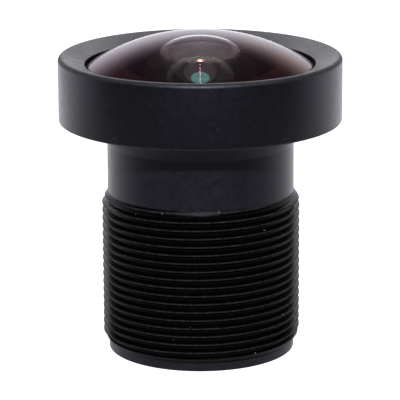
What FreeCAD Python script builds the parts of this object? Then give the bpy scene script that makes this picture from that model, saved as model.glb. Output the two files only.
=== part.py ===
import FreeCAD, Part
import math
import os

# Wide-angle board lens: a threaded barrel, a wide front cap and the glass between them.
# The optical axis is Z, the front looks along +Z and the origin is the middle of the rear face.
# Lengths are millimetres and angles are degrees.

# Gaps between pieces that go together
bore_clearance = 0.02       # round a rim or ring in its bore
thread_clearance = 0.02     # between the plain walls that stand for mating threads
clamp_relief = 0.05         # keeps a step of the barrel back from the stack that is clamped past it
cap_relief = 0.10           # above the cup of the barrel, so that the cap bears on the glass
opening_margin = 0.10       # that a ring's opening is wider than the glass face it clears
hairline = 0.01             # between a soft piece and the walls round it
edge_break = 0.12           # small chamfer on turned edges

# Outside of the barrel
thread_d = 12.00
thread_length = 8.24        # at full diameter, between the lead-in chamfers
lead_angle = 32.0           # of those chamfers, from the axis
tail_d = 11.31
tail_length = 0.50
neck_d = 11.29
flare_height = 1.33
flare_angle = 30.0          # from the axis
flange_thickness = 1.70
cup_wall = 0.52
cup_depth = 1.20

# Front cap
cap_d = 17.10
lip_bore_d = 13.88
lip_height = 0.25
lip_gap = 0.03              # between the lip and the land of the front element
cone_rise = 0.48
rim_land = 0.32             # flat ring at the very front
rim_break = 0.20            # chamfer outside it

# Seal in its groove under the front element
seal_groove_depth = 0.50
seal_groove_width = 0.60
seal_sides = 8              # of the squeezed ring's section

# Flat lands round the faces of the glass, outside their openings. The edge of an element is its thickness
# between its lands.
glass_land = 0.50
narrow_land = 0.40

# Infrared filter, glued into the rear face
filter_d = 9.70
filter_thickness = 0.30
filter_setback = 0.45       # of its rear face from the rear face of the barrel
glue_width = 0.32
glue_height = 0.30

# Rear retaining ring
ring_d = 8.84
ring_thickness = 1.00
ring_setback = 0.15         # from the filter
ring_wall = 0.87            # between its outside and its opening
ring_flare = 0.40           # widening of that opening towards the rear
slot_width = 0.60
slot_depth = 0.40

# Rear element: flat behind
rear_rim_d = 8.20
rear_edge = 0.35
rear_front_curve = 8.50
rear_front_opening_d = rear_rim_d - 2 * glass_land
rear_air = 0.25             # from its front vertex to the next element

# Cemented doublet
inner_rim_d = 7.20
doublet_back_edge = 0.29
doublet_back_curve = -7.00
doublet_back_opening_d = inner_rim_d - 2 * narrow_land
cement_curve = 4.20
cement_opening_d = inner_rim_d - 2 * glass_land
cement_gap = 0.02
doublet_front_edge = 2.17   # this glass is flat in front
middle_air = 0.345
middle_baffle_width = 0.70

# Fourth element: biconvex, close behind the stop
fourth_edge = 0.52
fourth_front_curve = 10.0
fourth_back_curve = -5.00
fourth_opening_d = inner_rim_d - 2 * narrow_land  # of both faces
stop_air = 0.09

# Aperture stop, and the web of the barrel in front of it
stop_thickness = 0.10
stop_opening_d = 2.80
web_thickness = 0.55
web_opening_d = 3.40
baffle_thickness = 0.05

# Third element: thick, and flat behind, where it lies on the web
third_rim_d = 7.80
third_edge = 1.62
third_front_curve = 7.00
third_front_opening_d = third_rim_d - 2 * glass_land
third_air = 2.17

# Second element: a meniscus with a deep hollow behind
second_rim_d = 8.80
second_edge = 0.92
second_front_curve = 6.50
second_front_land = 0.45
second_front_opening_d = second_rim_d - 2 * second_front_land
second_hollow_curve = 1.70
second_hollow_angle = 77.0  # from the axis to the edge of the hollow, at its centre
second_hollow_opening_d = 2 * second_hollow_curve * math.sin(math.radians(second_hollow_angle))
second_air = 3.008

# Front element: the wide dome with a deep hollow behind
front_rim_d = 14.70
front_edge = 1.46
dome_curve = 12.60
dome_land = 0.60            # under the lip of the cap, with the bevel
dome_opening_d = front_rim_d - 2 * dome_land
front_hollow_curve = 4.40
front_hollow_opening_d = 8.00
bevel_width = 0.20          # ground bevel round the dome
bevel_depth = 0.17

FLAT = 0.0                  # stands for the curve of a flat face
ORIGIN = FreeCAD.Vector(0, 0, 0)
AXIS = FreeCAD.Vector(0, 0, 1)


def drop(curve, radius):
    """How far a face falls back from its vertex at a radius. A negative curve comes forwards."""
    if curve == FLAT:
        return 0.0
    return curve - math.copysign(math.sqrt(curve ** 2 - radius ** 2), curve)


def turned(*outline):
    """Solid of revolution about the axis of a closed outline of (radius, height) points."""
    corners = [FreeCAD.Vector(radius, 0, height) for radius, height in outline]
    return Part.Face(Part.makePolygon(corners + corners[:1])).revolve(ORIGIN, AXIS, 360)


def ring(outer_d, opening_d, bottom, top):
    """Flat ring between two heights."""
    return turned((opening_d / 2, bottom), (outer_d / 2, bottom), (outer_d / 2, top), (opening_d / 2, top))


def ball(curve, vertex):
    """Ball that a spherical face is part of. Its poles lie across the axis and its seam on the far side from
    the vertex, so that the face is one even patch."""
    poles = FreeCAD.Vector(0, -curve, 0)
    return Part.makeSphere(abs(curve), FreeCAD.Vector(0, 0, vertex - curve), poles)


def bulge(curve, vertex, edge_height):
    """The slice of such a ball between its vertex and the flat that the bulging face rises from."""
    corner = FreeCAD.Vector(0, 0, min(vertex, edge_height))
    slice_round = Part.makeCylinder(abs(curve), abs(vertex - edge_height), corner, AXIS)
    return ball(curve, vertex).common(slice_round)


class Element:
    """One glass element: a spherical or flat face at each end, a flat land round each, and a ground rim.

    It is placed by the height of its rear vertex, and its edge is its thickness between the lands. A curve is
    a radius of curvature, positive where the centre lies behind the face. An opening is the diameter at which
    a face meets its land.
    """

    def __init__(self, rear_vertex, rim_d, edge, front_curve, front_opening_d,
                 back_curve=FLAT, back_opening_d=0.0, bevel_width=0.0, bevel_depth=0.0):
        self.rim = rim_d / 2
        self.rear_vertex = rear_vertex
        self.front_curve = front_curve
        self.front_reach = front_opening_d / 2
        self.back_curve = back_curve
        self.bevel_width = bevel_width
        self.rear_land = rear_vertex - drop(back_curve, back_opening_d / 2)
        self.front_land = self.rear_land + edge
        self.front_top = self.front_land + bevel_depth
        self.front_vertex = self.front_top + drop(front_curve, self.front_reach)

    def solid(self):
        outline = [(0, self.rear_land), (self.rim, self.rear_land), (self.rim, self.front_land)]
        if self.bevel_width > 0:
            outline.append((self.front_reach + self.bevel_width, self.front_land))
            outline.append((self.front_reach, self.front_top))
        outline.append((0, self.front_top))
        body = turned(*outline)
        if self.front_curve != FLAT:
            body = body.fuse(bulge(self.front_curve, self.front_vertex, self.front_top))
        if self.back_curve < 0:
            body = body.fuse(bulge(self.back_curve, self.rear_vertex, self.rear_land))
        elif self.back_curve > 0:
            body = body.cut(ball(self.back_curve, self.rear_vertex))
        return body.Solids[0]


# Heights of the stack, from the rear face forwards
filter_top = filter_setback + filter_thickness
ring_bottom = filter_top + ring_setback
ring_top = ring_bottom + ring_thickness
rear_glass = Element(ring_top, rear_rim_d, rear_edge, rear_front_curve, rear_front_opening_d)

doublet_back = Element(rear_glass.front_vertex + rear_air, inner_rim_d, doublet_back_edge,
                       cement_curve, cement_opening_d, doublet_back_curve, doublet_back_opening_d)
doublet_front = Element(doublet_back.front_vertex + cement_gap, inner_rim_d, doublet_front_edge,
                        FLAT, 0.0, cement_curve, cement_opening_d)

fourth_glass = Element(doublet_front.front_vertex + middle_air, inner_rim_d, fourth_edge,
                       fourth_front_curve, fourth_opening_d, fourth_back_curve, fourth_opening_d)
stop_bottom = fourth_glass.front_vertex + stop_air
stop_top = stop_bottom + stop_thickness
web_top = stop_top + web_thickness

third_glass = Element(web_top, third_rim_d, third_edge, third_front_curve, third_front_opening_d)
second_glass = Element(third_glass.front_vertex + third_air, second_rim_d, second_edge,
                       second_front_curve, second_front_opening_d,
                       second_hollow_curve, second_hollow_opening_d)
front_glass = Element(second_glass.front_vertex + second_air, front_rim_d, front_edge,
                      dome_curve, dome_opening_d, front_hollow_curve, front_hollow_opening_d,
                      bevel_width, bevel_depth)

# Heights and radii of the barrel and the cap that follow from the stack
front_seat = front_glass.rear_land
flange_bottom = front_seat - flange_thickness
cup_top = front_seat + cup_depth
cup_bore = front_glass.rim + bore_clearance
cup_radius = cup_bore + cup_wall
filter_bore = filter_d / 2 + bore_clearance
ring_bore = ring_d / 2 + thread_clearance


def barrel():
    """Turned barrel: thread and neck outside, stepped bores from both ends that meet at the stop's web."""
    tail = tail_d / 2
    thread = thread_d / 2
    neck = neck_d / 2
    slope = math.tan(math.radians(lead_angle))
    thread_bottom = tail_length + (thread - tail) / slope
    thread_top = thread_bottom + thread_length
    neck_bottom = thread_top + (thread - neck) / slope
    flare_bottom = flange_bottom - flare_height
    flare = neck + flare_height * math.tan(math.radians(flare_angle))
    outside = [
        (tail - edge_break, 0),
        (tail, edge_break),
        (tail, tail_length),
        (thread, thread_bottom),
        (thread, thread_top),
        (neck, neck_bottom),
        (neck, flare_bottom),
        (flare, flange_bottom),
        (cup_radius, flange_bottom),
        (cup_radius, cup_top),
    ]

    groove_bottom = front_seat - seal_groove_depth
    groove_inner = cup_bore - seal_groove_width
    second_bore = second_glass.rim + bore_clearance
    second_step = second_glass.rear_land - clamp_relief
    third_bore = third_glass.rim + bore_clearance
    front_bores = [
        (cup_bore, cup_top),
        (cup_bore, groove_bottom),
        (groove_inner, groove_bottom),
        (groove_inner, front_seat),
        (second_bore, front_seat),
        (second_bore, second_step),
        (third_bore, second_step),
        (third_bore, web_top),
        (web_opening_d / 2, web_top),
    ]

    inner_bore = fourth_glass.rim + bore_clearance
    inner_step = doublet_back.rear_land + clamp_relief
    rear_bore = rear_glass.rim + bore_clearance
    rear_step = ring_top + clamp_relief
    rear_bores = [
        (web_opening_d / 2, stop_top),
        (inner_bore, stop_top),
        (inner_bore, inner_step),
        (rear_bore, inner_step),
        (rear_bore, rear_step),
        (ring_bore, rear_step),
        (ring_bore, filter_top),
        (filter_bore, filter_top),
        (filter_bore, 0),
    ]
    return turned(*outside, *front_bores, *rear_bores)


def front_cap():
    """Cap over the cup of the barrel, with a conical front face that falls to the lip round the dome."""
    outer = cap_d / 2
    skirt_bore = cup_radius + thread_clearance
    roof = cup_top + cap_relief
    lip_bottom = front_glass.front_land + lip_gap
    lip_top = lip_bottom + lip_height
    top = lip_top + cone_rise
    return turned(
        (skirt_bore, flange_bottom),
        (outer - edge_break, flange_bottom),
        (outer, flange_bottom + edge_break),
        (outer, top - rim_break),
        (outer - rim_break, top),
        (outer - rim_break - rim_land, top),
        (lip_bore_d / 2, lip_top),
        (lip_bore_d / 2, lip_bottom),
        (cup_bore, lip_bottom),
        (cup_bore, roof),
        (skirt_bore, roof),
    )


def front_seal():
    """Rubber ring squeezed flat in the groove of the seat, under the rear land of the front element."""
    middle = cup_bore - seal_groove_width / 2
    height = front_seat - seal_groove_depth / 2
    half_side = math.pi / seal_sides
    corner_radius = (seal_groove_depth / 2 - hairline) / math.cos(half_side)
    outline = []
    for side in range(seal_sides):
        turn = (2 * side + 1) * half_side
        outline.append((middle + corner_radius * math.cos(turn), height + corner_radius * math.sin(turn)))
    return turned(*outline)


def front_spacer():
    opening_d = second_front_opening_d + 2 * opening_margin
    return ring(second_rim_d, opening_d, second_glass.front_land, front_seat)


def front_baffle():
    opening_d = second_hollow_opening_d + opening_margin
    top = second_glass.rear_land
    return ring(third_rim_d, opening_d, top - baffle_thickness, top)


def second_spacer():
    opening_d = third_front_opening_d + opening_margin
    top = second_glass.rear_land - baffle_thickness
    return ring(third_rim_d, opening_d, third_glass.front_land, top)


def aperture_stop():
    return ring(inner_rim_d, stop_opening_d, stop_bottom, stop_top)


def stop_spacer():
    return ring(inner_rim_d, fourth_opening_d + opening_margin, fourth_glass.front_land, stop_bottom)


def middle_spacer():
    bottom = doublet_front.front_land + baffle_thickness
    return ring(inner_rim_d, fourth_opening_d + opening_margin, bottom, fourth_glass.rear_land)


def middle_baffle():
    opening_d = inner_rim_d - 2 * middle_baffle_width
    bottom = doublet_front.front_land
    return ring(inner_rim_d, opening_d, bottom, bottom + baffle_thickness)


def rear_spacer():
    """Ring with a conical opening, wide at the rear element and narrow at the doublet."""
    mouth = (rear_front_opening_d + opening_margin) / 2
    throat = (doublet_back_opening_d + opening_margin) / 2
    bottom = rear_glass.front_land
    top = doublet_back.rear_land
    return turned((mouth, bottom), (rear_glass.rim, bottom), (rear_glass.rim, top), (throat, top))


def rear_retaining_ring():
    """Threaded ring that clamps the rear stack, with two slots for a pin spanner in its rear face."""
    outer = ring_d / 2
    opening = outer - ring_wall
    body = turned(
        (opening + ring_flare, ring_bottom),
        (outer - edge_break, ring_bottom),
        (outer, ring_bottom + edge_break),
        (outer, ring_top),
        (opening, ring_top),
    )
    corner = FreeCAD.Vector(-outer, -slot_width / 2, ring_bottom)
    slots = Part.makeBox(ring_d, slot_width, slot_depth, corner)
    return body.cut(slots)


def ir_filter():
    return Part.makeCylinder(filter_d / 2, filter_thickness, FreeCAD.Vector(0, 0, filter_setback), AXIS)


def filter_glue():
    """Fillet of glue in the corner between the filter's rear face and the wall of its recess."""
    outer = filter_bore - hairline
    return turned(
        (outer - glue_width, filter_setback),
        (outer, filter_setback - glue_height),
        (outer, filter_setback),
    )


pieces = {
    "barrel": barrel(),
    "front_cap": front_cap(),
    "front_element": front_glass.solid(),
    "front_seal": front_seal(),
    "front_spacer": front_spacer(),
    "second_element": second_glass.solid(),
    "front_baffle": front_baffle(),
    "second_spacer": second_spacer(),
    "third_element": third_glass.solid(),
    "aperture_stop": aperture_stop(),
    "stop_spacer": stop_spacer(),
    "fourth_element": fourth_glass.solid(),
    "middle_spacer": middle_spacer(),
    "middle_baffle": middle_baffle(),
    "doublet_front_element": doublet_front.solid(),
    "doublet_rear_element": doublet_back.solid(),
    "rear_spacer": rear_spacer(),
    "rear_element": rear_glass.solid(),
    "rear_retaining_ring": rear_retaining_ring(),
    "ir_filter": ir_filter(),
    "filter_glue": filter_glue(),
}

os.makedirs("parts", exist_ok=True)
for name, shape in pieces.items():
    shape.exportStep("parts/" + name + ".step")
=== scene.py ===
"""Looks of a wide-angle board camera lens: turned metal with its thread, coated glass, and a plain studio.

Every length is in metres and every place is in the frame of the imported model, with the optical axis on Z.
"""
import functools
import math

import bpy
from mathutils import Matrix, Vector


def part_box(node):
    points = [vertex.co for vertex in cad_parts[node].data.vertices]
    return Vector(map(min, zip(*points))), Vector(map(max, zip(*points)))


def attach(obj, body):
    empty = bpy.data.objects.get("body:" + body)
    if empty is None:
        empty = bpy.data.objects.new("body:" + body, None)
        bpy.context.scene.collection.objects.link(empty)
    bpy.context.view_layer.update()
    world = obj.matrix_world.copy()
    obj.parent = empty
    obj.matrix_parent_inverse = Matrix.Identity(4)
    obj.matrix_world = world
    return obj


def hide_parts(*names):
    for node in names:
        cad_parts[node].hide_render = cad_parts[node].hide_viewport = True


bl_info = {
    "name": "Board Camera Lens",
    "version": (1, 0, 0),
    "blender": (4, 5, 0),
    "location": "3D View > Sidebar > Board Lens",
    "description": "Turned metal, coated glass and a plain studio for a packed board camera lens",
    "category": "Add Mesh",
}

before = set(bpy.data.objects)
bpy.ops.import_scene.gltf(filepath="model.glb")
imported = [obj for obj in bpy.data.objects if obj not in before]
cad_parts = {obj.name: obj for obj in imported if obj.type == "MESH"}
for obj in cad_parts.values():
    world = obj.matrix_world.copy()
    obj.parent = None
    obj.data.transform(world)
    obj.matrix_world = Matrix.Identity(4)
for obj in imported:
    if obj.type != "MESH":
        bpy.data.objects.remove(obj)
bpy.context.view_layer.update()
MM = 0.001
BODY = "root"           # the whole lens is one body
AROUND = 192            # vertices round a turned piece
THREAD_ROWS = 16        # rows of vertices to one turn of the thread
FACE_ROWS = 40          # rings on a spherical face
ROUND_STEPS = 5         # steps in a rounded corner
SHARP_ANGLE = math.radians(32)
HAIR = 0.001 * MM       # keeps faces apart that would share a plane
TO_CAMERA = 0.75        # share of a turn from the X axis to the camera's side
DUST = (0.35, 0.34, 0.32)
UNEVENNESS = 0.08       # roughness that a skin gains or loses from place to place
BLUNTNESS = 0.28        # roughness that full wear adds
SKIN_DEPTH = 0.006 * MM     # of the relief on the metal
GRAIN_DEPTH = 0.6       # share of that depth which the etched grain has
INNER_DENSITY = 1.60    # of the glass behind the front element
COOL_GLASS = (0.97, 0.97, 0.98)
WARM_GLASS = (0.99, 0.985, 0.98)
METAL_PIECES = ("barrel_body", "front_cap_body")
FLAT = (0.0, 0.0)       # a face without a curve, and a rim without a bevel
FINE_SHARE = 0.6        # share of the fine grain in the shade of a skin, beside the soft patches
GROOVE = ((0.0, 0.0), (0.25, 0.0), (0.6, 1.0))      # places along a groove, and shares of its depth


def reach(node):
    """Radius of a turned node."""
    low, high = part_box(node)
    return max(high.x, high.y, -low.x, -low.y)


def bottom(node):
    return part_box(node)[0].z


def top(node):
    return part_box(node)[1].z


def chosen(name):
    """One of the groups of settings at the end of this file."""
    return getattr(bpy.context.scene, "board_lens_" + name)


def length(name, description, default):
    """A length that a user can change, given in millimetres."""
    return bpy.props.FloatProperty(
        name=name, description=description, default=default * MM, min=0.0, precision=5,
        subtype="DISTANCE", unit="LENGTH")


def face(name, description, curve, edge):
    """A face of the glass: its curve, negative where it bulges backwards, and the radius of its edge."""
    return bpy.props.FloatVectorProperty(
        name=name, description=description, default=(curve * MM, edge * MM), size=2, precision=5,
        unit="LENGTH")


def number(name, description, default, highest=1.0):
    return bpy.props.FloatProperty(name=name, description=description, default=default, min=0.0, max=highest)


def angle(name, description, default):
    return bpy.props.FloatProperty(
        name=name, description=description, default=math.radians(default), subtype="ANGLE", unit="ROTATION")


def colour(name, description, default):
    return bpy.props.FloatVectorProperty(
        name=name, description=description, default=default, size=3, min=0.0, max=1.0, subtype="COLOR")


class BoardLensMetal(bpy.types.PropertyGroup):
    """Sizes of the turned metal that the frame's boxes don't give."""

    thread_pitch: length("Thread pitch", "Rise in one turn", 0.50)
    thread_depth: length("Thread depth", "From crest to root", 0.31)
    crest_radius: length("Crest radius", "Outside of the thread", 6.00)
    crest_share: number("Crest share", "Half the flat crest, as a share of the pitch", 1 / 16)
    root_share: number("Root share", "From mid crest to the foot of its flank, likewise", 3 / 8)
    # On the thread crests the worn colour is partly real wear and partly a painted highlight: the pale lines
    # stand in for light the crests catch.
    crest_wear_and_highlight: number("Crest wear", "How far the wear of the crest reaches down", 1.5, 4.0)
    first_crest: length("First crest", "Height of the lowest crest on the camera's side", 1.25)
    tail_radius: length("Tail radius", "Plain end below the thread", 5.655)
    tail_height: length("Tail height", "Plain end below the thread", 0.50)
    thread_start: length("Thread start", "Where the lead-in reaches full diameter", 1.052)
    thread_end: length("Thread end", "Where the run-out begins", 9.292)
    neck_radius: length("Neck radius", "Plain neck above the thread", 5.645)
    neck_start: length("Neck start", "Where the neck begins", 9.86)
    flare_start: length("Flare start", "Where the neck begins to widen", 12.865)
    flare_radius: length("Flare radius", "Widened neck at the cap", 6.413)
    edge_round: length("Edge rounding", "Of turned edges", 0.07)
    cup_wall: length("Cup wall", "Of the barrel round the front element", 0.52)
    groove_depth: length("Seal groove depth", "In the seat", 0.50)
    groove_width: length("Seal groove width", "In the seat", 0.60)
    web_radius: length("Web opening", "Radius of the opening in the barrel's web", 1.7)
    groove_pitch: length("Groove pitch", "Of the fine grooves in a spacer", 0.16)
    groove_cut: length("Groove cut", "Depth of the fine grooves", 0.05)
    glue_width: length("Glue width", "Of the fillet round the filter", 0.32)
    bore_gap: length("Bore gap", "Between a bore and what sits in it", 0.02)
    step_back: length("Step back", "From a step to the stack clamped past it", 0.05)


class BoardLensCap(bpy.types.PropertyGroup):
    """Sizes of the front cap."""

    rim_round: length("Rim rounding", "Outer edge of the front face", 0.27)
    rim_land: length("Rim land", "Flat ring at the very front", 0.03)
    cone_rise: length("Cone rise", "Height of the conical front face", 0.48)
    lip_radius: length("Lip radius", "Opening round the dome", 6.94)
    lip_height: length("Lip height", "Straight wall of the lip", 0.25)
    lip_round: length("Lip rounding", "Edges of the cone", 0.030)
    skirt_round: length("Skirt rounding", "Lower outer edge", 0.12)
    roof_gap: length("Roof gap", "Between the barrel's cup and the cap", 0.10)


class BoardLensGlass(bpy.types.PropertyGroup):
    """Faces of the glass, the colours that its coatings reflect and its glow."""

    dome: face("Dome", "Front of the front element", 12.60, 6.75)
    bevel_width: length("Bevel width", "Ground bevel round the dome", 0.20)
    bevel_depth: length("Bevel depth", "Ground bevel round the dome", 0.17)
    hollow: face("Hollow", "Deep rear of the front element", 4.40, 4.00)
    second_front: face("Second front", "Front of the second element", 6.5, 3.95)
    second_hollow: face("Second hollow", "Its deep rear", 1.7, 1.656)
    third_front: face("Third front", "Front of the third element", 7.00, 3.40)
    fourth_front: face("Fourth front", "Front of the fourth element", 10.00, 3.20)
    fourth_rear: face("Fourth rear", "Its bulging rear", -5.00, 3.20)
    cement: face("Cement", "Where the pair of elements is cemented", 4.20, 3.10)
    pair_rear: face("Pair rear", "Bulging rear of the pair", -7.00, 3.20)
    rear_front: face("Rear front", "Front of the rear element", 8.50, 3.60)
    opening_margin: length("Opening margin", "From a face to the ring round it", 0.05)
    filter_chamfer: length("Filter chamfer", "Ground edge of the filter", 0.05)
    contact_gap: length("Contact gap", "Between a land and the metal under it", 0.004)
    front_coating: colour("Front coating", "What the dome reflects head on", (0.48, 0.07, 0.30))
    inner_coating: colour("Inner coating", "What the inner glass reflects head on", (0.32, 0.29, 0.28))
    filter_coating: colour("Filter coating", "What the filter reflects head on", (0.85, 0.22, 0.30))
    pupil: colour("Pupil", "Glow behind the stop", (0.043, 0.160, 0.150))
    veil: colour("Veil", "Glow in front of the stop", (0.022, 0.018, 0.018))
    haze: colour("Haze", "Glow of the hollow of the second element", (0.015, 0.013, 0.013))


class BoardLensFinish(bpy.types.PropertyGroup):
    """Colours and grain of the metal and the soft pieces."""

    anodised: colour("Anodised", "Black skin of the barrel", (0.0030, 0.0030, 0.0040))
    cap_black: colour("Cap black", "Black skin of the cap", (0.0012, 0.0012, 0.0017))
    thread_black: colour("Thread black", "Blacker skin of the thread", (0.0004, 0.0004, 0.0004))
    # This worn colour also paints the highlight lines along the thread crests.
    worn: colour("Worn edge", "Where the anodising is thin", (0.055, 0.055, 0.060))
    blackened: colour("Blackened", "Rings between the glass", (0.006, 0.006, 0.007))
    # Painted light: this paler brown stands in for the light that falls on the front spacer and the second
    # element's rim inside the lens.
    painted_light_brown: colour("Thin dye", "Front spacer", (0.030, 0.0225, 0.0215))
    film: colour("Film", "Thin baffles and the stop", (0.004, 0.004, 0.005))
    rubber: colour("Rubber", "Seal", (0.012, 0.012, 0.012))
    glue: colour("Glue", "Round the filter", (0.010, 0.009, 0.009))
    edge_ink: colour("Edge ink", "On the ground rims of the glass", (0.022, 0.003, 0.004))
    sheen: colour("Sheen", "What the anodising reflects head on", (0.74, 0.75, 1.0))
    grain: length("Grain", "Size of the etched grain", 0.09)


class BoardLensStudio(bpy.types.PropertyGroup):
    """Camera and light. Each lamp and wall has its brightness."""

    camera_distance: length("Camera distance", "From the point that it looks at", 159.67)
    camera_rise: angle("Camera elevation", "Above the horizon", 14.418)
    camera_roll: angle("Camera roll", "About its own line of sight", -0.277)
    look_height: length("Look height", "Point on the axis that it looks at", 9.5)
    lens_length: bpy.props.FloatProperty(
        name="Focal length", description="On a 36 mm frame", default=236.3, unit="CAMERA")
    shift_x: bpy.props.FloatProperty(name="Shift X", description="Framing across", default=-0.0019)
    shift_y: bpy.props.FloatProperty(name="Shift Y", description="Framing up and down", default=-0.0154)
    back_wall: number("Back wall", "Surround behind the lens", 1.27, 10.0)
    front_wall: number("Front wall", "Surround on the camera's side", 0.10, 10.0)
    ceiling: number("Ceiling", "Surround straight overhead", 0.10, 10.0)
    light_tint: colour("Light tint", "Of the surround and the floor", (0.93, 0.93, 1.0))
    warm_tint: colour("Warm tint", "Of the surround above the right side", (1.0, 0.90, 0.82))
    key: number("Key lamp", "Small lamp above the camera", 3000.0, 9000.0)
    rear_box: number("Rear softbox", "Lights the metal from behind", 2.0, 10.0)
    inner_key: number("Inner key", "Spotlight on the rings inside", 2.9, 900.0)
    back_lamp: number("Back lamp", "Shows as a spot in the dome", 80.0, 900.0)
    spot_tint: colour("Spot tint", "Of the back lamp", (1.0, 0.70, 0.50))
    halo: number("Halo", "Ring round the back lamp, as a share of the lamp", 0.1)
    halo_tint: colour("Halo tint", "Of that ring", (1.0, 0.35, 0.12))
    strip: number("Strip lamp", "Shows as a streak in the dome", 6.0, 900.0)
    floor_size: length("Floor size", "Side of the floor", 3000.0)
    floor_glow: number("Floor glow", "How far the floor behind is over-exposed", 1.3, 10.0)
    shade_floor: number("Floor shade", "Floor on the camera's side", 0.14, 10.0)
    shade_start: length("Shade start", "From the lens to the darkest floor in front", 40.0)
    shade_end: length("Shade end", "From the lens to the brightest floor behind", 55.0)


def point(radius, height, turn):
    return (radius * math.cos(turn), radius * math.sin(turn), height)


def rounded(corners):
    """Outline through corners. One with a third value is rounded by it, and its points are worn."""
    outline = []
    count = len(corners)
    for index, (radius, height, *roundings) in enumerate(corners):
        here = Vector((radius, height))
        if not roundings:
            outline.append((here.x, here.y))
            continue
        rounding = roundings[0]
        before = (Vector(corners[index - 1][:2]) - here).normalized()
        after = (Vector(corners[(index + 1) % count][:2]) - here).normalized()
        half = before.angle(after) / 2
        tangent = rounding / math.tan(half)
        middle = here + (before + after).normalized() * rounding / math.sin(half)
        start = here + before * tangent - middle
        finish = here + after * tangent - middle
        for step in range(ROUND_STEPS + 1):
            spoke = start.slerp(finish, step / ROUND_STEPS).normalized() * rounding
            worn = math.sin(math.pi * step / ROUND_STEPS)
            outline.append((middle.x + spoke.x, middle.y + spoke.y, worn))
    return outline


def spherical(curve, vertex, radius):
    """Points of a spherical face from the axis out. A positive curve has its centre below the vertex."""
    widest = math.asin(radius / abs(curve))
    points = []
    for row in range(FACE_ROWS + 1):
        turn = widest * row / FACE_ROWS
        points.append((abs(curve) * math.sin(turn), vertex - curve * (1 - math.cos(turn))))
    return points


def drop(curve, radius):
    """How far a spherical face falls back from its vertex at a radius."""
    return curve - math.copysign(math.sqrt(curve ** 2 - radius ** 2), curve)


class TurnedMesh:
    """Vertices, faces and finishes of a piece as it is put together."""

    def __init__(self):
        self.vertices = []
        self.wear = []
        self.faces = []
        self.finishes = []

    def ring(self, radius, height, wear=0.0):
        """A ring of vertices, or a single one on the axis. Returns their numbers."""
        first = len(self.vertices)
        count = AROUND if radius > 0 else 1
        for step in range(count):
            self.vertices.append(point(radius, height, 2 * math.pi * step / AROUND))
        self.wear += [wear] * count
        return [first + step % count for step in range(AROUND)]

    def face(self, corners, finish):
        """Adds a face, or none where its corners fall together."""
        corners = tuple(dict.fromkeys(corners))
        if len(corners) > 2:
            self.faces.append(corners)
            self.finishes.append(finish)

    def strip(self, lower, upper, finish):
        """Adds the faces between two rings."""
        for step in range(AROUND):
            following = (step + 1) % AROUND
            self.face((lower[step], lower[following], upper[following], upper[step]), finish)

    def turn(self, outline, closed=True, finish=lambda index: 0):
        """Turns an outline that has its material on the left. Returns its rings."""
        rings = [self.ring(*corner) for corner in outline]
        for index in range(len(rings) - 1):
            self.strip(rings[index], rings[index + 1], finish(index))
        if closed:
            self.strip(rings[-1], rings[0], finish(len(rings) - 1))
        return rings

    def wind(self, lower, upper, pitch, crest_height, radius_at, finish):
        """Winds a right-handed thread from one ring up to another. Its rows of vertices follow the helix."""
        low = self.vertices[lower[0]][2]
        high = self.vertices[upper[0]][2]
        first = math.floor((low - crest_height) / pitch - 1) * THREAD_ROWS
        last = math.ceil((high - crest_height) / pitch) * THREAD_ROWS
        rows = []
        for row in range(first, last + THREAD_ROWS + 1):
            numbers = []
            for step in range(AROUND):
                height = crest_height + pitch * (row / THREAD_ROWS + step / AROUND)
                if height <= low:
                    numbers.append(lower[step])
                elif height >= high:
                    numbers.append(upper[step])
                else:
                    radius, wear = radius_at(row / THREAD_ROWS, height)
                    numbers.append(len(self.vertices))
                    self.vertices.append(point(radius, height, 2 * math.pi * step / AROUND))
                    self.wear.append(wear)
            rows.append(numbers)
        for index in range(len(rows) - THREAD_ROWS - 1):
            here = rows[index] + rows[index + THREAD_ROWS][:1]
            above = rows[index + 1] + rows[index + 1 + THREAD_ROWS][:1]
            for step in range(AROUND):
                self.face((here[step], here[step + 1], above[step + 1], above[step]), finish)

    def make(self, name, finishes, replaced):
        """Makes the object, which stands for a CAD node and moves with its body."""
        mesh = bpy.data.meshes.new(name)
        mesh.from_pydata(self.vertices, [], self.faces)
        for finish in finishes:
            mesh.materials.append(finish)
        mesh.polygons.foreach_set("material_index", self.finishes)
        wear = mesh.attributes.new("wear", "FLOAT", "POINT")
        wear.data.foreach_set("value", self.wear)
        mesh.shade_smooth()
        mesh.set_sharp_from_angle(angle=SHARP_ANGLE)
        made = bpy.data.objects.new(name, mesh)
        bpy.context.scene.collection.objects.link(made)
        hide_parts(replaced)
        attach(made, BODY)


def add(tree, kind, **settings):
    """Adds a node and sets its properties."""
    node = tree.nodes.new(kind)
    for name, value in settings.items():
        setattr(node, name, value)
    return node


def feed(socket, value):
    """Links a socket to another one, or gives it a number or a colour."""
    if isinstance(value, bpy.types.NodeSocket):
        socket.id_data.links.new(value, socket)
    elif socket.type == "RGBA":
        socket.default_value = (*value, 1.0)
    else:
        socket.default_value = value


def math_node(tree, operation, *values):
    """Reckons with one or two values, each a socket or a number."""
    node = add(tree, "ShaderNodeMath", operation=operation)
    for socket, value in zip(node.inputs, values):
        feed(socket, value)
    return node.outputs["Value"]


def weighted(tree, first, first_weight, second, second_weight):
    """Adds up two values, each with its weight."""
    return math_node(tree, "ADD", math_node(tree, "MULTIPLY", first, first_weight),
                     math_node(tree, "MULTIPLY", second, second_weight))


def spread(tree, value, low, high, to_low=0.0, to_high=1.0):
    """Stretches a value from one range to another, and holds it there."""
    node = add(tree, "ShaderNodeMapRange", interpolation_type="SMOOTHSTEP")
    for socket, given in zip(node.inputs, (value, low, high, to_low, to_high)):
        feed(socket, given)
    return node.outputs["Result"]


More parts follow.
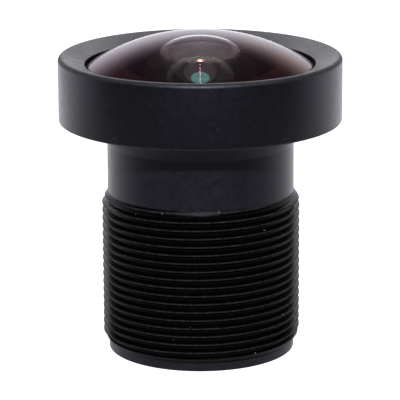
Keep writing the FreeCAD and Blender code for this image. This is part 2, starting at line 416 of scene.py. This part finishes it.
def mixed(tree, amount, first, second):
    """Mixes two colours, each a socket or a colour."""
    node = add(tree, "ShaderNodeMix", data_type="RGBA", clamp_factor=True)
    feed(node.inputs["Factor"], amount)
    for socket, value in zip(node.inputs[6:8], (first, second)):
        feed(socket, value)
    return node.outputs[2]


def object_place(tree):
    """Place on the piece, in metres."""
    return add(tree, "ShaderNodeTexCoord").outputs["Object"]


def parts(tree, vector):
    """X, Y and Z of a vector."""
    node = add(tree, "ShaderNodeSeparateXYZ")
    feed(node.inputs[0], vector)
    return node.outputs


def off_axis(tree, axes):
    """Distance from the optical axis."""
    squares = [math_node(tree, "MULTIPLY", axes[axis], axes[axis]) for axis in "XY"]
    return math_node(tree, "SQRT", math_node(tree, "ADD", *squares))


def noise(tree, size, detail, vector=None, dimensions="3D"):
    """Noise from 0 to 1 with features of about that size, which is a number or a socket."""
    node = add(tree, "ShaderNodeTexNoise", noise_dimensions=dimensions)
    scale = 1 / size if isinstance(size, float) else math_node(tree, "DIVIDE", 1.0, size)
    for title, value in (("Vector", vector or object_place(tree)), ("Scale", scale), ("Detail", detail)):
        feed(node.inputs[title], value)
    return node.outputs["Fac"]


def worn_points(tree):
    """Wear of the mesh's points, 1 in the middle of a rounded corner."""
    return add(tree, "ShaderNodeAttribute", attribute_name="wear").outputs["Fac"]


def group(name, given, outputs):
    """An empty node group with its float sockets, and its input and output nodes."""
    tree = bpy.data.node_groups.new(name, "ShaderNodeTree")
    for title, default in given.items():
        socket = tree.interface.new_socket(title, in_out="INPUT", socket_type="NodeSocketFloat")
        socket.default_value = default
    for title in outputs:
        tree.interface.new_socket(title, in_out="OUTPUT", socket_type="NodeSocketFloat")
    return tree, add(tree, "NodeGroupInput").outputs, add(tree, "NodeGroupOutput").inputs


@functools.cache
def grain_group():
    """Etched and anodised skin: a fine grain and soft uneven patches."""
    tree, given, result = group("etched_grain", {"Size": 0.035 * MM}, ["Shade", "Height"])
    fine = noise(tree, given["Size"], detail=3.0)
    patches = noise(tree, size=0.45 * MM, detail=4.0)
    feed(result["Shade"], weighted(tree, fine, FINE_SHARE, patches, 1 - FINE_SHARE))
    feed(result["Height"], fine)
    return tree


@functools.cache
def turning_group():
    """Marks that a lathe tool leaves: fine rings round the axis, on walls and on faces alike."""
    tree, given, result = group("turning_marks", {"Feed": 0.04 * MM}, ["Height"])
    axes = parts(tree, object_place(tree))
    rings = add(tree, "ShaderNodeCombineXYZ")
    feed(rings.inputs["X"], off_axis(tree, axes))
    feed(rings.inputs["Y"], axes["Z"])
    marks = noise(tree, given["Feed"], detail=1.0, vector=rings.outputs[0], dimensions="2D")
    feed(result["Height"], marks)
    return tree


@functools.cache
def wear_group():
    """Where a rounded edge is rubbed: the worn points of the mesh, broken up by a fine noise."""
    tree, given, result = group("edge_wear", {"Amount": 0.5}, ["Mask"])
    rubs = noise(tree, size=0.25 * MM, detail=5.0)
    broken = spread(tree, rubs, low=0.35, high=0.7, to_low=0.35)
    rubbed = math_node(tree, "MULTIPLY", worn_points(tree), broken)
    feed(result["Mask"], math_node(tree, "MULTIPLY", rubbed, given["Amount"]))
    return tree


@functools.cache
def dust_group():
    """Rare pale specks of dust and lint."""
    tree, given, result = group("dust", {"Amount": 0.5}, ["Mask"])
    cell = 0.55 * MM
    rarity = 0.80
    specks = add(tree, "ShaderNodeTexVoronoi", feature="F1")
    feed(specks.inputs["Vector"], object_place(tree))
    feed(specks.inputs["Scale"], 1 / cell)
    near = spread(tree, specks.outputs["Distance"], low=0.10, high=0.03)
    pick = add(tree, "ShaderNodeSeparateColor")
    feed(pick.inputs[0], specks.outputs["Color"])
    rare = math_node(tree, "GREATER_THAN", pick.outputs[0], rarity)
    shown = math_node(tree, "MULTIPLY", near, rare)
    feed(result["Mask"], math_node(tree, "MULTIPLY", shown, given["Amount"]))
    return tree


def use(tree, maker, **values):
    """Places a node group with its own values."""
    node = add(tree, "ShaderNodeGroup", node_tree=maker())
    for title, value in values.items():
        feed(node.inputs[title], value)
    return node.outputs


def new_material(name, **sockets):
    """A material with some plain sockets set. Returns it, its tree and the inputs of its shader."""
    made = bpy.data.materials.new(name)
    made.use_nodes = True
    shader = made.node_tree.nodes["Principled BSDF"].inputs
    for title, value in sockets.items():
        feed(shader[title.replace("_", " ")], value)
    return made, made.node_tree, shader


def raise_surface(tree, shader, height, depth):
    """Bumps the surface by a height from 0 to 1, which stands for that depth."""
    bump = add(tree, "ShaderNodeBump")
    feed(bump.inputs["Distance"], depth)
    feed(bump.inputs["Height"], height)
    feed(shader["Normal"], bump.outputs["Normal"])


def shades(base, darkest, palest):
    """A darker and a paler shade of a colour."""
    return [[part * factor for part in base] for factor in (darkest, palest)]


def turned_metal(name, base, roughness, marks, wear, dust, shine):
    """Black anodised metal as it leaves the lathe and the etching bath."""
    finish = chosen("finish")
    made, tree, shader = new_material(name, Specular_IOR_Level=shine, Specular_Tint=finish.sheen)
    grain = use(tree, grain_group, Size=finish.grain)
    turning = use(tree, turning_group)
    rubbed = use(tree, wear_group, Amount=wear)
    dusty = use(tree, dust_group, Amount=dust)
    dark = mixed(tree, spread(tree, grain["Shade"], low=0.3, high=0.7),
                 *shades(getattr(finish, base), darkest=0.5, palest=1.7))
    # The worn colour on rubbed edges; on the thread crests it is partly a painted highlight.
    edged = mixed(tree, rubbed["Mask"], dark, finish.worn)
    feed(shader["Base Color"], mixed(tree, dusty["Mask"], edged, DUST))
    rough = spread(tree, grain["Shade"], low=0.25, high=0.75,
                   to_low=roughness - UNEVENNESS, to_high=roughness + UNEVENNESS)
    blunt = math_node(tree, "MULTIPLY", worn_points(tree), BLUNTNESS)
    feed(shader["Roughness"], math_node(tree, "ADD", rough, blunt))
    relief = weighted(tree, grain["Height"], GRAIN_DEPTH, turning["Height"], marks)
    raise_surface(tree, shader, relief, SKIN_DEPTH)
    return made


def soft_material(name, base, roughness, depth, shine):
    """Dull dark material with a soft uneven surface."""
    made, tree, shader = new_material(name, Specular_IOR_Level=shine)
    uneven = noise(tree, size=0.12 * MM, detail=4.0)
    dark = shades(getattr(chosen("finish"), base), darkest=0.7, palest=1.4)
    feed(shader["Base Color"], mixed(tree, uneven, *dark))
    rough = spread(tree, uneven, low=0.2, high=0.8,
                   to_low=roughness - UNEVENNESS, to_high=roughness + UNEVENNESS)
    feed(shader["Roughness"], rough)
    raise_surface(tree, shader, uneven, depth)
    return made


def coated_glass(name, coating, density):
    """Clear glass whose coating colours what it reflects."""
    made, tree, shader = new_material(name, Transmission_Weight=1.0, Roughness=0.0, IOR=density,
                                      Specular_Tint=getattr(chosen("glass"), coating))
    patches = noise(tree, size=2.5 * MM, detail=3.0)
    feed(shader["Base Color"], mixed(tree, patches, COOL_GLASS, WARM_GLASS))
    return made


def glowing_glass(name, **sockets):
    """Glass that gives back a little of the light inside the lens, which the render can't follow so deep."""
    return new_material(name, Transmission_Weight=1.0, Roughness=0.0, IOR=INNER_DENSITY,
                        Emission_Strength=1.0, **sockets)


def hazy_glass(name, tint):
    """Glass with an uneven glow all over."""
    made, tree, shader = glowing_glass(name)
    uneven = spread(tree, noise(tree, size=0.9 * MM, detail=3.0), low=0.2, high=0.8)
    glow = shades(getattr(chosen("glass"), tint), darkest=0.7, palest=1.0)
    feed(shader["Emission Color"], mixed(tree, uneven, *glow))
    return made


def hollow_glass(name):
    """Glass of the second element, of which only the deep hollow glows."""
    glass = chosen("glass")
    made, tree, shader = glowing_glass(name, Specular_Tint=glass.inner_coating)
    axes = parts(tree, object_place(tree))
    curve, edge = glass.second_hollow
    blur = 0.05 * MM
    margin = 0.01 * MM
    roof = bottom("second_element") + drop(curve, edge)
    inside = spread(tree, off_axis(tree, axes), low=edge + blur, high=edge)
    under = math_node(tree, "LESS_THAN", axes["Z"], roof + margin)
    glow = mixed(tree, math_node(tree, "MULTIPLY", inside, under), (0.0, 0.0, 0.0), glass.haze)
    feed(shader["Emission Color"], glow)
    return made


# What makes each material, and its settings. The paler brown metal of the front spacer and of the second
# element's rim is painted light, standing in for the light that falls on them inside the lens. The pupil's
# glow stands for light that comes back through the lens, and the veil for what a coating scatters.
MATERIALS = {
    turned_metal: {
        "barrel_metal": dict(base="anodised", roughness=0.32, marks=0.25, wear=0.35, dust=0.2, shine=0.28),
        "cap_metal": dict(base="cap_black", roughness=0.3, marks=0.25, wear=0.25, dust=0.16, shine=0.28),
        # On the thread the worn colour paints the crest lines, partly wear and partly a painted highlight.
        "thread_metal": dict(base="thread_black", roughness=0.3, marks=0.1, wear=0.34, dust=0.45, shine=0.08),
        "ring_metal": dict(base="anodised", roughness=0.38, marks=0.5, wear=0.6, dust=0.1, shine=0.3),
        "blackened_metal": dict(base="blackened", roughness=0.6, marks=0.5, wear=0.1, dust=0.0, shine=0.2),
        # Painted light: the paler brown metal of the front spacer and of the second element's rim.
        "brown_metal": dict(base="painted_light_brown", roughness=0.6, marks=0.8, wear=0.1, dust=0.0, shine=0.2),
    },
    soft_material: {
        "edge_ink": dict(base="edge_ink", roughness=0.85, depth=0.001 * MM, shine=0.08),
        "film": dict(base="film", roughness=0.55, depth=0.002 * MM, shine=0.3),
        "rubber": dict(base="rubber", roughness=0.6, depth=0.006 * MM, shine=0.3),
        "glue": dict(base="glue", roughness=0.35, depth=0.010 * MM, shine=0.3),
    },
    coated_glass: {
        "dome_glass": dict(coating="front_coating", density=1.85),
        "stack_glass": dict(coating="inner_coating", density=INNER_DENSITY),
        "filter_pane": dict(coating="filter_coating", density=2.20),
    },
    hazy_glass: {"pupil_glass": dict(tint="pupil"), "veiled_glass": dict(tint="veil")},
    hollow_glass: {"hollow_glass": {}},
}


@functools.cache
def material(name):
    """A material of the table, made once."""
    maker = next(maker for maker, named in MATERIALS.items() if name in named)
    return maker(name, **MATERIALS[maker][name])


def glass_outline(node, front=FLAT, rear=FLAT, bevel=FLAT):
    """Outline of an element from the axis at its rear to that at its front, and where on it the ink is.

    A face is its curve and the radius where it meets its land, and the bevel is its width and depth.
    """
    gap = chosen("glass").contact_gap
    rim = reach(node) - gap
    low = bottom(node)
    land = top(node) - gap
    curve, edge = rear
    below = [(0.0, low + gap), (rim - gap, low + gap)]
    if curve != 0:
        below = spherical(curve, low + max(0.0, drop(curve, edge)), edge)
    curve, edge = front
    above = [(rim - gap, land), (0.0, land)]
    if curve > 0:
        above = spherical(curve, top(node), edge)[::-1]
        land = top(node) - drop(curve, edge) - bevel[1]
    sides = [(rim, below[-1][1] + gap), (rim, land - gap)]
    if bevel[0] > 0:
        sides.append((edge + bevel[0], land - gap))
    return below + sides + above, range(len(below) - 1, len(below) + len(sides))


def make_element(name, node, finish, slot_name, rim="edge_ink", **faces):
    """One glass element with its faces polished and its rim and lands inked."""
    outline, inked = glass_outline(node, **faces)
    piece = TurnedMesh()
    piece.turn(outline, closed=False, finish=lambda index: int(index in inked))
    piece.make(name, [material(finish), material(rim)], node)


def make_turned(name, outline, finish, node, closed=True):
    """A piece of one material, turned from an outline."""
    piece = TurnedMesh()
    piece.turn(outline, closed)
    piece.make(name, [material(finish)], node)


def make_spacer(node, lower, upper=None, finish="blackened_metal"):
    """A ring whose opening clears the faces next to it. Fine grooves in it keep stray light down."""
    metal = chosen("metal")
    margin = chosen("glass").opening_margin
    low = bottom(node)
    high = top(node)
    opening = lower[1] + margin
    upper_opening = (upper or lower)[1] + margin
    outline = [(opening, low), (reach(node), low), (reach(node), high)]
    cuts = max(1, round((high - low) / metal.groove_pitch))
    for cut in range(cuts):
        for phase, share in GROOVE:
            along = (cut + phase) / cuts
            radius = upper_opening + (opening - upper_opening) * along + share * metal.groove_cut
            outline.append((radius, high - (high - low) * along))
    make_turned(node + "_ring", outline, finish, node)


class BOARDLENS_OT_barrel(bpy.types.Operator):
    """Makes the barrel: tail, thread, neck and flare outside, and the stepped bores that hold the glass"""

    bl_idname = "boardlens.barrel"
    bl_label = "Barrel"

    def bores(self, metal):
        """Corners of the bores, from the top of the cup down to the rear face."""
        cup = reach("barrel") - metal.cup_wall
        seat = bottom("front_element")
        groove = cup - metal.groove_width
        gap = metal.bore_gap
        second_step = top("front_baffle") - metal.step_back
        web_top = bottom("third_element")
        web_bottom = top("aperture_stop")
        inner_step = top("rear_spacer") + metal.step_back
        ring_step = top("rear_retaining_ring") + metal.step_back
        filter_step = top("ir_filter")
        floor = seat - metal.groove_depth
        corners = [(cup, top("barrel")), (cup, floor), (groove, floor), (groove, seat)]
        for radius, upper, lower in (
                (reach("second_element") + gap, seat, second_step),
                (reach("third_element") + gap, second_step, web_top),
                (metal.web_radius, web_top, web_bottom),
                (reach("fourth_element") + gap, web_bottom, inner_step),
                (reach("rear_element") + gap, inner_step, ring_step),
                (reach("rear_retaining_ring") + gap, ring_step, filter_step),
                (reach("ir_filter") + gap, filter_step, 0.0)):
            corners += [(radius, upper), (radius, lower)]
        return corners

    def execute(self, context):
        metal = chosen("metal")
        edge = metal.edge_round
        crest = metal.crest_radius
        root = crest - metal.thread_depth
        neck = metal.neck_radius
        tail = metal.tail_radius
        corners = [
            (neck, metal.neck_start),
            (neck, metal.neck_start + edge),
            (neck, metal.flare_start - edge),
            (neck, metal.flare_start),
            (metal.flare_radius, bottom("front_cap")),
            (reach("barrel"), bottom("front_cap")),
            (reach("barrel"), top("barrel")),
        ]
        bores = self.bores(metal)
        corners += bores[:-1]
        corners += [(*bores[-1], edge), (tail, 0.0, edge)]
        corners += [(tail, metal.tail_height - edge), (tail, metal.tail_height)]
        piece = TurnedMesh()
        rings = piece.turn(rounded(corners), closed=False)

        def thread_radius(phase, height):
            """Radius of the thread at a phase from its crest, held inside the lead-in cones at both ends."""
            away = abs(phase - round(phase))
            flank = (metal.root_share - away) / (metal.root_share - metal.crest_share)
            thread = root + metal.thread_depth * min(1.0, max(0.0, flank))
            rise = (height - metal.tail_height) / (metal.thread_start - metal.tail_height)
            fall = (metal.neck_start - height) / (metal.neck_start - metal.thread_end)
            lead_in = tail + (crest - tail) * rise
            run_out = neck + (crest - neck) * fall
            # The crest's wear is partly real wear and partly a painted highlight along the crest.
            wear = min(1.0, max(0.0, metal.crest_wear_and_highlight - away / metal.crest_share))
            return min(thread, lead_in, run_out), wear

        facing = metal.first_crest - TO_CAMERA * metal.thread_pitch
        piece.wind(rings[-1], rings[0], metal.thread_pitch, facing, thread_radius, finish=1)
        skins = [material("barrel_metal"), material("thread_metal")]
        piece.make("barrel_body", skins, "barrel")
        return {"FINISHED"}


class BOARDLENS_OT_cap(bpy.types.Operator):
    """Makes the front cap with its rounded rim, conical face and lip"""

    bl_idname = "boardlens.cap"
    bl_label = "Front Cap"

    def execute(self, context):
        cap = chosen("cap")
        metal = chosen("metal")
        outer = reach("front_cap")
        low = bottom("front_cap")
        high = top("front_cap")
        skirt = reach("barrel") + metal.bore_gap
        cup = reach("barrel") - metal.cup_wall
        roof = top("barrel") + cap.roof_gap
        lip_top = high - cap.cone_rise
        lip_bottom = lip_top - cap.lip_height
        corners = [
            (skirt, low),
            (outer, low, cap.skirt_round),
            (outer, high, cap.rim_round),
            (outer - cap.rim_round - cap.rim_land, high, cap.lip_round),
            (cap.lip_radius, lip_top, cap.lip_round),
            (cap.lip_radius, lip_bottom),
            (cup, lip_bottom),
            (cup, roof),
            (skirt, roof),
        ]
        make_turned("front_cap_body", rounded(corners), "cap_metal", "front_cap")
        return {"FINISHED"}


class BOARDLENS_OT_front_element(bpy.types.Operator):
    """Makes the domed front element with its ground bevel and deep hollow back"""

    bl_idname = "boardlens.front_element"
    bl_label = "Front Element"

    def execute(self, context):
        glass = chosen("glass")
        make_element("front_dome", "front_element", "dome_glass", "front_glass",
                     front=glass.dome, rear=glass.hollow, bevel=(glass.bevel_width, glass.bevel_depth))
        return {"FINISHED"}


class BOARDLENS_OT_elements(bpy.types.Operator):
    """Makes the six elements behind the front one"""

    bl_idname = "boardlens.elements"
    bl_label = "Inner Elements"

    def execute(self, context):
        glass = chosen("glass")
        finishes = {"second_element": "hollow_glass", "third_element": "veiled_glass",
                    "fourth_element": "pupil_glass"}
        shapes = {
            "second_element": dict(front=glass.second_front, rear=glass.second_hollow),
            "third_element": dict(front=glass.third_front),
            "fourth_element": dict(front=glass.fourth_front, rear=glass.fourth_rear),
            "doublet_front_element": dict(rear=glass.cement),
            "doublet_rear_element": dict(front=glass.cement, rear=glass.pair_rear),
            "rear_element": dict(front=glass.rear_front),
        }
        for node, faces in shapes.items():
            finish = finishes.get(node, "stack_glass")
            # The second element's rim takes the paler brown that is painted light falling on it.
            rim = "brown_metal" if node == "second_element" else "edge_ink"
            make_element(node + "_glass", node, finish, "inner_glass", rim, **faces)
        return {"FINISHED"}


class BOARDLENS_OT_spacers(bpy.types.Operator):
    """Makes the blackened spacer rings with their grooved openings"""

    bl_idname = "boardlens.spacers"
    bl_label = "Spacer Rings"

    def execute(self, context):
        glass = chosen("glass")
        # The front spacer's paler brown is painted light falling on its wall.
        make_spacer("front_spacer", glass.hollow, finish="brown_metal")
        make_spacer("second_spacer", glass.third_front)
        make_spacer("stop_spacer", glass.fourth_front)
        make_spacer("middle_spacer", glass.fourth_rear)
        make_spacer("rear_spacer", glass.rear_front, glass.pair_rear)
        return {"FINISHED"}


class BOARDLENS_OT_films(bpy.types.Operator):
    """Finishes the thin baffles, the stop and the retaining ring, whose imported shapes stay"""

    bl_idname = "boardlens.films"
    bl_label = "Baffles, Stop and Ring"

    def execute(self, context):
        finishes = {"front_baffle": "film", "middle_baffle": "film", "aperture_stop": "film",
                    "rear_retaining_ring": "ring_metal"}
        for node, finish in finishes.items():
            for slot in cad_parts[node].material_slots:
                slot.material = material(finish)
        return {"FINISHED"}


class BOARDLENS_OT_filter(bpy.types.Operator):
    """Makes the infrared filter and the fillet of glue that holds it"""

    bl_idname = "boardlens.filter"
    bl_label = "Filter and Glue"

    def execute(self, context):
        glass = chosen("glass")
        metal = chosen("metal")
        low = bottom("ir_filter")
        high = top("ir_filter")
        rim = reach("ir_filter")
        chip = glass.filter_chamfer
        upper = high - HAIR
        outline = [(0.0, low), (rim - chip, low), (rim, low + chip), (rim, high - chip), (rim - chip, upper),
                   (0.0, upper)]
        make_turned("filter_plate", outline, "filter_pane", "ir_filter", closed=False)

        wall = reach("filter_glue")
        foot = bottom("filter_glue")
        rise = low - foot
        width = metal.glue_width
        fillet = [(wall, foot), (wall, low - HAIR), (wall - width, low - HAIR)]
        for step in range(1, ROUND_STEPS * 2):
            turn = math.pi / 2 * step / (ROUND_STEPS * 2)
            fillet.append((wall - width * (1 - math.sin(turn)), low - rise * (1 - math.cos(turn))))
        make_turned("filter_glue_fillet", fillet, "glue", "filter_glue")
        return {"FINISHED"}


class BOARDLENS_OT_seal(bpy.types.Operator):
    """Makes the rubber ring, squeezed between its groove and the front element"""

    bl_idname = "boardlens.seal"
    bl_label = "Seal"

    def execute(self, context):
        low = bottom("front_seal")
        high = top("front_seal")
        half = (high - low) / 2
        middle = reach("front_seal") - half
        steps = 4 * ROUND_STEPS
        outline = []
        for step in range(steps):
            turn = 2 * math.pi * step / steps
            outline.append((middle + half * math.cos(turn), low + half + half * math.sin(turn)))
        make_turned("front_seal_ring", outline, "rubber", "front_seal")
        return {"FINISHED"}


def direction(around, rise):
    """Unit vector away from the object, for angles in degrees.

    Around is 0 towards the camera and grows to the right, and rise is above the horizon.
    """
    around = math.radians(around)
    rise = math.radians(rise)
    return Vector((math.sin(around) * math.cos(rise), -math.cos(around) * math.cos(rise), math.sin(rise)))


def hang(light, aim, around, rise, distance):
    """Hangs a lamp in a direction from the point that it shines at."""
    lamp = bpy.data.objects.new(light.name, light)
    towards = direction(around, rise)
    lamp.location = Vector(aim) + towards * distance
    lamp.rotation_euler = towards.to_track_quat("Z", "Y").to_euler()
    bpy.context.scene.collection.objects.link(lamp)
    return lamp


def softbox(name, around, rise, distance, width, height, brightness, tint=(1.0, 1.0, 1.0)):
    """An area light that faces the lens, as bright at any size. One as high as wide is made round."""
    light = bpy.data.lights.new(name, "AREA")
    light.color = tint
    light.shape = "RECTANGLE" if width != height else "DISK"
    light.size = width
    light.size_y = height
    area = width * height * (math.pi / 4 if width == height else 1.0)
    light.energy = brightness * math.pi * area
    return hang(light, (0, 0, chosen("studio").look_height), around, rise, distance)


def spotlight(name, aim, around, rise, distance, radius, softness, brightness):
    """A narrow spotlight whose soft-edged round beam has the given radius where it is aimed."""
    light = bpy.data.lights.new(name, "SPOT")
    light.spot_size = 2 * math.atan(radius / distance)
    light.spot_blend = softness
    light.shadow_soft_size = 0.1 * MM
    light.energy = brightness * (2 * math.pi * distance) ** 2
    return hang(light, aim, around, rise, distance)


class BOARDLENS_OT_studio(bpy.types.Operator):
    """Makes the floor, the lights, the white surround and the camera"""

    bl_idname = "boardlens.studio"
    bl_label = "Studio"

    def floor(self, studio):
        """A white floor that the light over-exposes."""
        half = studio.floor_size / 2
        below = -0.01 * MM
        corners = [(-half, -half, below), (half, -half, below), (half, half, below), (-half, half, below)]
        mesh = bpy.data.meshes.new("floor")
        mesh.from_pydata(corners, [], [(0, 1, 2, 3)])
        plane = bpy.data.objects.new("floor", mesh)
        bpy.context.scene.collection.objects.link(plane)
        paper, tree, shader = new_material("white_floor", Roughness=0.9, Specular_IOR_Level=0.1,
                                           Emission_Color=studio.light_tint)
        fibres = noise(tree, size=2.0 * MM, detail=4.0)
        feed(shader["Base Color"], mixed(tree, fibres, *shades((1.0, 1.0, 1.0), darkest=0.14, palest=0.16)))
        lit = spread(tree, parts(tree, object_place(tree))["Y"], -studio.shade_start, studio.shade_end,
                     studio.shade_floor, studio.floor_glow)
        seen = add(tree, "ShaderNodeLightPath").outputs["Is Camera Ray"]
        white = math_node(tree, "MULTIPLY", seen, studio.back_wall)
        feed(shader["Emission Strength"], math_node(tree, "MAXIMUM", lit, white))
        mesh.materials.append(paper)

    def surround(self, studio):
        """White walls, darker overhead and on the camera's side, and warmer above the right side."""
        world = bpy.data.worlds.new("surround")
        bpy.context.scene.world = world
        world.use_nodes = True
        tree = world.node_tree
        background = tree.nodes["Background"].inputs
        axes = parts(tree, add(tree, "ShaderNodeTexCoord").outputs["Generated"])
        walls = spread(tree, axes["Y"], low=-0.6, high=0.75,
                       to_low=studio.front_wall, to_high=studio.back_wall)
        overhead = spread(tree, axes["Z"], low=0.22, high=0.66)
        darker = math_node(tree, "MULTIPLY", overhead, studio.back_wall - studio.ceiling)
        bright = math_node(tree, "MAXIMUM", math_node(tree, "SUBTRACT", walls, darker), studio.ceiling)
        feed(background["Strength"], bright)
        right = spread(tree, axes["X"], low=0.02, high=0.35)
        above = spread(tree, axes["Z"], low=0.12, high=0.40)
        warm = math_node(tree, "MULTIPLY", right, above)
        feed(background["Color"], mixed(tree, warm, studio.light_tint, studio.warm_tint))

    def camera(self, studio):
        lens = bpy.data.cameras.new("camera")
        lens.lens = studio.lens_length
        lens.clip_start = 0.01
        lens.shift_x = studio.shift_x
        lens.shift_y = studio.shift_y
        camera = bpy.data.objects.new("camera", lens)
        bpy.context.scene.collection.objects.link(camera)
        back = direction(0.0, math.degrees(studio.camera_rise)) * studio.camera_distance
        tilt = Matrix.Rotation(math.pi / 2 - studio.camera_rise, 4, "X")
        roll = Matrix.Rotation(studio.camera_roll, 4, "Z")
        camera.matrix_world = Matrix.Translation(Vector((0, 0, studio.look_height)) + back) @ tilt @ roll
        bpy.context.scene.camera = camera

    def link(self, lamp, role, *pieces):
        """Limits a lamp to the pieces that receive or block its light."""
        linked = bpy.data.collections.new(lamp.name + "_" + role)
        for piece in pieces:
            linked.objects.link(bpy.data.objects[piece])
        setattr(lamp.light_linking, role + "_collection", linked)

    def execute(self, context):
        studio = chosen("studio")
        self.floor(studio)
        self.surround(studio)
        softbox("key_lamp", around=0.5, rise=33.6, distance=0.5, width=0.026, height=0.026,
                brightness=studio.key)
        rear = softbox("rear_softbox", around=180, rise=42, distance=0.6, width=0.56, height=0.34,
                       brightness=studio.rear_box)
        self.link(rear, "receiver", *METAL_PIECES)
        spot = dict(around=180, rise=54)
        softbox("back_lamp", **spot, distance=0.5, width=0.012, height=0.012, brightness=studio.back_lamp,
                tint=studio.spot_tint)
        softbox("back_lamp_halo", **spot, distance=0.52, width=0.024, height=0.024,
                brightness=studio.back_lamp * studio.halo, tint=studio.halo_tint)
        softbox("strip_lamp", around=180, rise=70, distance=0.5, width=0.003, height=0.16,
                brightness=studio.strip)
        inside = spotlight("inner_key", aim=(0, 4.7 * MM, 14.1 * MM), around=0.5, rise=50, distance=0.2,
                           radius=3.9 * MM, softness=0.2, brightness=studio.inner_key)
        self.link(inside, "receiver", "front_spacer_ring", "second_element_glass")
        self.link(inside, "blocker", *METAL_PIECES)
        self.camera(studio)
        context.scene.view_settings.view_transform = "Standard"
        return {"FINISHED"}


OPERATORS = (
    BOARDLENS_OT_barrel, BOARDLENS_OT_cap, BOARDLENS_OT_front_element, BOARDLENS_OT_elements,
    BOARDLENS_OT_spacers, BOARDLENS_OT_films, BOARDLENS_OT_filter, BOARDLENS_OT_seal, BOARDLENS_OT_studio,
)
SETTINGS = {
    "board_lens_metal": BoardLensMetal,
    "board_lens_cap": BoardLensCap,
    "board_lens_glass": BoardLensGlass,
    "board_lens_finish": BoardLensFinish,
    "board_lens_studio": BoardLensStudio,
}


class BOARDLENS_PT_panel(bpy.types.Panel):
    """Lists the pieces of the lens and their settings"""

    bl_idname = "BOARDLENS_PT_panel"
    bl_label = "Board Lens"
    bl_space_type = "VIEW_3D"
    bl_region_type = "UI"
    bl_category = "Board Lens"

    def draw(self, context):
        for operator in OPERATORS:
            self.layout.operator(operator.bl_idname)
        for name, settings in SETTINGS.items():
            box = self.layout.box()
            box.label(text=settings.__name__)
            for title in settings.__annotations__:
                box.prop(getattr(context.scene, name), title)


def register():
    for kind in (*SETTINGS.values(), *OPERATORS, BOARDLENS_PT_panel):
        bpy.utils.register_class(kind)
    for name, settings in SETTINGS.items():
        setattr(bpy.types.Scene, name, bpy.props.PointerProperty(type=settings))


def unregister():
    for name in SETTINGS:
        delattr(bpy.types.Scene, name)
    for kind in reversed((*SETTINGS.values(), *OPERATORS, BOARDLENS_PT_panel)):
        bpy.utils.unregister_class(kind)


def main():
    """Makes every piece and the studio."""
    register()
    bpy.ops.boardlens.barrel()
    bpy.ops.boardlens.cap()
    bpy.ops.boardlens.front_element()
    bpy.ops.boardlens.elements()
    bpy.ops.boardlens.spacers()
    bpy.ops.boardlens.films()
    bpy.ops.boardlens.filter()
    bpy.ops.boardlens.seal()
    bpy.ops.boardlens.studio()


if __name__ == "__main__":
    main()
